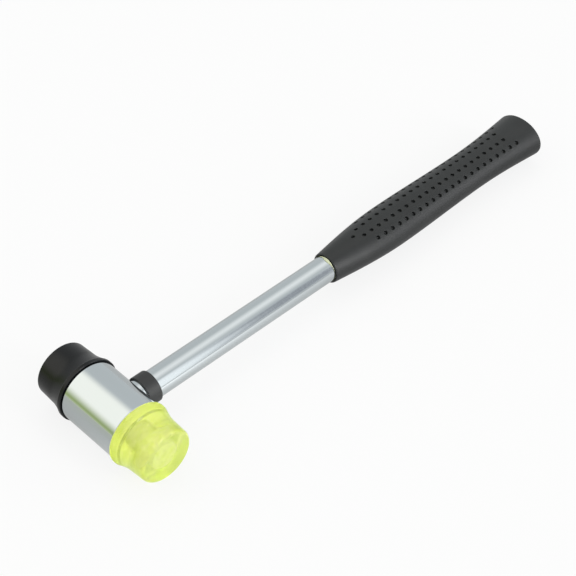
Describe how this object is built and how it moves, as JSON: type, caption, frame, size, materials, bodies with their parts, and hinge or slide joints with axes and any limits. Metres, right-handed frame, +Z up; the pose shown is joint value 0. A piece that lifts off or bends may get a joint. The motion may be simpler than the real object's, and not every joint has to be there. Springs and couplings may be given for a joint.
{
  "type": "double-faced hammer",
  "caption": "Hammer lying on its side: chromed barrel head with a screwed-in hard face and soft face, steel tube handle, dimpled oval rubber grip with a flared butt.",
  "frame": {"origin": "on the floor under the middle of the hammer's box, as it lies on its side", "axes": "+X from the head to the butt of the grip, +Y along the head from the hard face to the soft face, +Z up"},
  "size_m": [0.2812, 0.068, 0.03],
  "materials": {
    "chrome": "polished",
    "zinc_plated_steel": "satin",
    "yellow_plastic": "clear moulded",
    "black_rubber": "moulded",
    "grip_rubber": "matt moulded",
    "adhesive": "cured bead"
  },
  "bodies": {
    "hammer": {"head_barrel": "chrome", "handle_tube": "chrome", "tube_plug": "zinc_plated_steel", "handle_collar": "black_rubber", "grip_sleeve": "grip_rubber", "grip_glue": "adhesive"},
    "hard_stud": {"hard_face_stud": "zinc_plated_steel"},
    "hard_face": {"hard_face": "yellow_plastic"},
    "soft_stud": {"soft_face_stud": "zinc_plated_steel"},
    "soft_face": {"soft_face": "black_rubber"}
  },
  "joints": [
    {"name": "hard_face_travel", "type": "slide", "parent": "hammer", "child": "hard_stud", "axis": [0, -1, 0], "range_m": [0, 0.00751]},
    {"name": "hard_face_turn", "type": "hinge", "parent": "hard_stud", "child": "hard_face", "pos_m": [-0.12561, 0, 0.015], "axis": [0, -1, 0], "range_deg": [0, 2160]},
    {"name": "soft_face_travel", "type": "slide", "parent": "hammer", "child": "soft_stud", "axis": [0, 1, 0], "range_m": [0, 0.00751]},
    {"name": "soft_face_turn", "type": "hinge", "parent": "soft_stud", "child": "soft_face", "pos_m": [-0.12561, 0, 0.015], "axis": [0, 1, 0], "range_deg": [0, 2160]}
  ],
  "couplings": [
    {"joint": "hard_face_travel", "follows": "hard_face_turn", "m_per_rad": 0.00019894},
    {"joint": "soft_face_travel", "follows": "soft_face_turn", "m_per_rad": 0.00019894}
  ]
}
